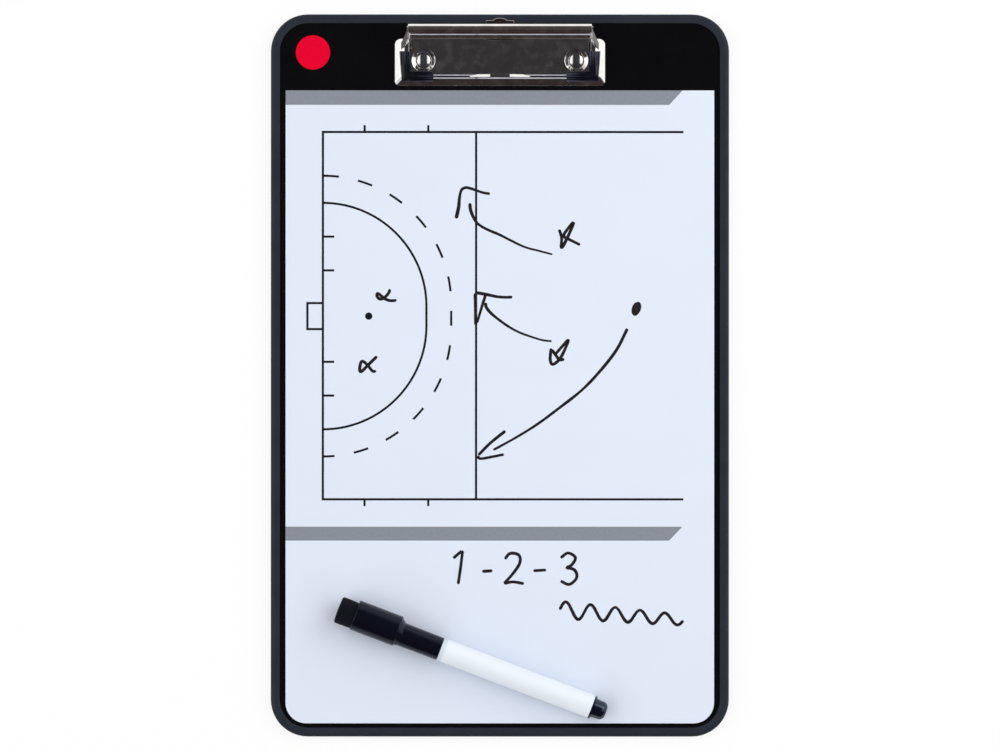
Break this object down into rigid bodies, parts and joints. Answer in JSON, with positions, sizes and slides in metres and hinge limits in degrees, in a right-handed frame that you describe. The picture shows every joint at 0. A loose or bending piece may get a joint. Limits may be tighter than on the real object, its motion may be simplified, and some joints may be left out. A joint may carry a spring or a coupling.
{
  "type": "tactics board",
  "caption": "Coach's clipboard tactics board: rimmed panel with white writing sheet, sprung chrome clip, slide-out hanging eyelet and a capped dry-erase marker with felt eraser lying on it.",
  "frame": {"origin": "centre of the board's underside, on the surface it lies on", "axes": "+X across the board to the right of the writing face, +Y along the board towards the clip, +Z out of the writing face"},
  "size_m": [0.222, 0.35, 0.0203],
  "materials": {
    "rim_soft": "soft moulded edge, fine matt grain, slate grey",
    "panel_black": "smooth black panel, low gloss",
    "sheet_white": "dry-erase film, semi-gloss, cool white",
    "clip_chrome": "bright plated steel sheet",
    "rivet_chrome": "bright plated rivet",
    "washer_steel": "zinc plated",
    "pin_steel": "drawn steel wire",
    "spring_steel": "drawn spring wire",
    "guard_black": "ribbed moulded plastic",
    "barrel_white": "smooth white moulded tube",
    "front_white": "satin white moulding",
    "nib_felt": "ink-soaked fibre nib",
    "reservoir_fibre": "ink-soaked fibre rod",
    "cap_black": "smooth black moulding, soft gloss",
    "seal_soft": "soft inner cup",
    "eraser_felt": "dense pressed felt"
  },
  "bodies": {
    "board": {"edge_frame": "rim_soft", "board_core": "panel_black", "writing_sheet": "sheet_white", "clip_base_plate": "clip_chrome", "rivet_left": "rivet_chrome", "rivet_right": "rivet_chrome", "rivet_washers": "washer_steel", "hinge_pin": "pin_steel", "torsion_spring_left": "spring_steel", "torsion_spring_right": "spring_steel"},
    "bow": {"clip_bow": "clip_chrome", "corner_guard_left": "guard_black", "corner_guard_right": "guard_black"},
    "eyelet": {"hanging_eyelet": "clip_chrome"},
    "marker": {"marker_barrel": "barrel_white", "marker_front_section": "front_white", "marker_nib": "nib_felt", "ink_reservoir": "reservoir_fibre", "marker_end_plug": "cap_black"},
    "cap": {"marker_cap": "cap_black", "cap_inner_seal": "seal_soft", "eraser_pad": "eraser_felt"}
  },
  "joints": [
    {"name": "clip_hinge", "type": "hinge", "parent": "board", "child": "bow", "pos_m": [0, 0.1674, 0.0092], "axis": [-1, 0, 0], "range_deg": [0, 40], "stiffness_Nm_per_rad": 0.35, "springref_deg": -34.38, "deforming": ["torsion_spring_left", "torsion_spring_right"]},
    {"name": "eyelet_slide", "type": "slide", "parent": "board", "child": "eyelet", "axis": [0, 1, 0], "range_m": [0, 0.014]},
    {"name": "marker_lift", "type": "slide", "parent": "board", "child": "marker", "axis": [0, 0, 1], "range_m": [0, 0.05]},
    {"name": "cap_pull", "type": "slide", "parent": "marker", "child": "cap", "axis": [-0.9339, 0.3572, 0.0174], "range_m": [0, 0.032]}
  ]
}
